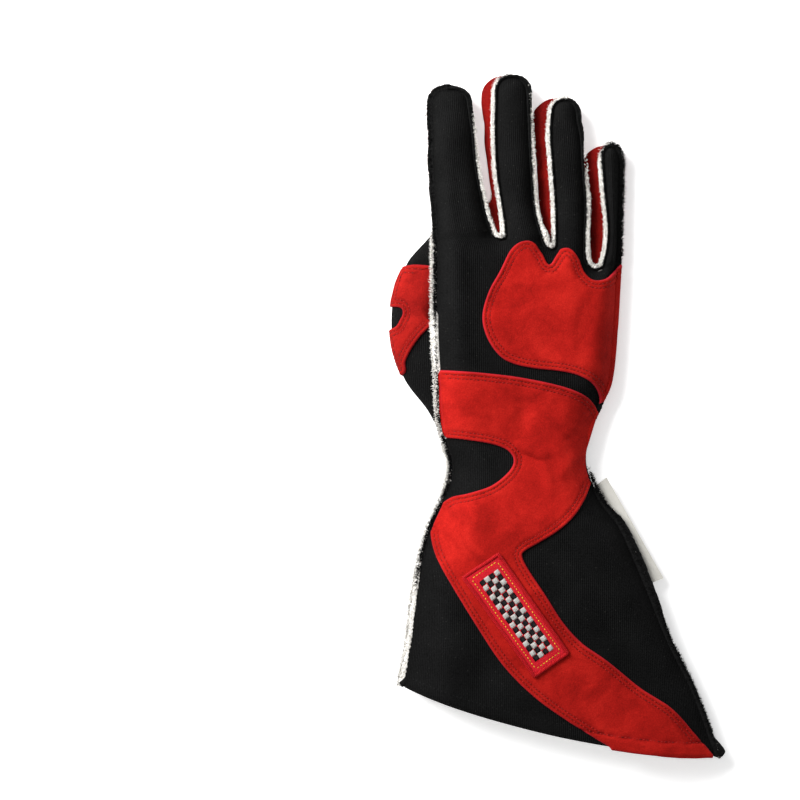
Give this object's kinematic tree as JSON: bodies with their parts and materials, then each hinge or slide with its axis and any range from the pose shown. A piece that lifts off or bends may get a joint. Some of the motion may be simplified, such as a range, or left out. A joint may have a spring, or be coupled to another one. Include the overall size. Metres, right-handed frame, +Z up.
{
  "type": "racing glove",
  "caption": "Right-hand racing glove with a long flared gauntlet, black knit back, red suede palm and strap, raw-edged outside seams and a plain patch, lying palm down.",
  "frame": {"origin": "on the surface the glove lies on, under the middle of its outline", "axes": "+Y from the mouth of the gauntlet to the fingertips, +Z up through the back of the hand, +X towards the little finger"},
  "size_m": [0.192, 0.3978, 0.0327],
  "materials": {
    "knit": "matt rib knit",
    "red_suede": "napped suede",
    "black_suede": "napped suede",
    "fleece": "fuzzy cut edge",
    "patch": "woven twill",
    "label": "woven tape"
  },
  "bodies": {
    "root": {"back_panel": "knit", "palm_panel": "red_suede", "gauntlet_under_panel": "knit", "thumb_back": "knit", "thumb_front": "red_suede", "finger_wall_1": "red_suede", "finger_wall_2": "red_suede", "finger_wall_3": "red_suede", "knuckle_overlay": "red_suede", "gauntlet_strap": "red_suede", "thumb_overlay": "red_suede", "palm_overlay": "black_suede", "strap_patch": "patch", "side_label": "label", "side_seam_thumb": "fleece", "side_seam_little": "fleece", "finger_seam_back_1": "fleece", "finger_seam_back_2": "fleece", "finger_seam_back_3": "fleece", "finger_seam_palm_1": "fleece", "finger_seam_palm_2": "fleece", "finger_seam_palm_3": "fleece", "thumb_seam": "fleece", "thumb_root_seam": "fleece"}
  },
  "joints": []
}
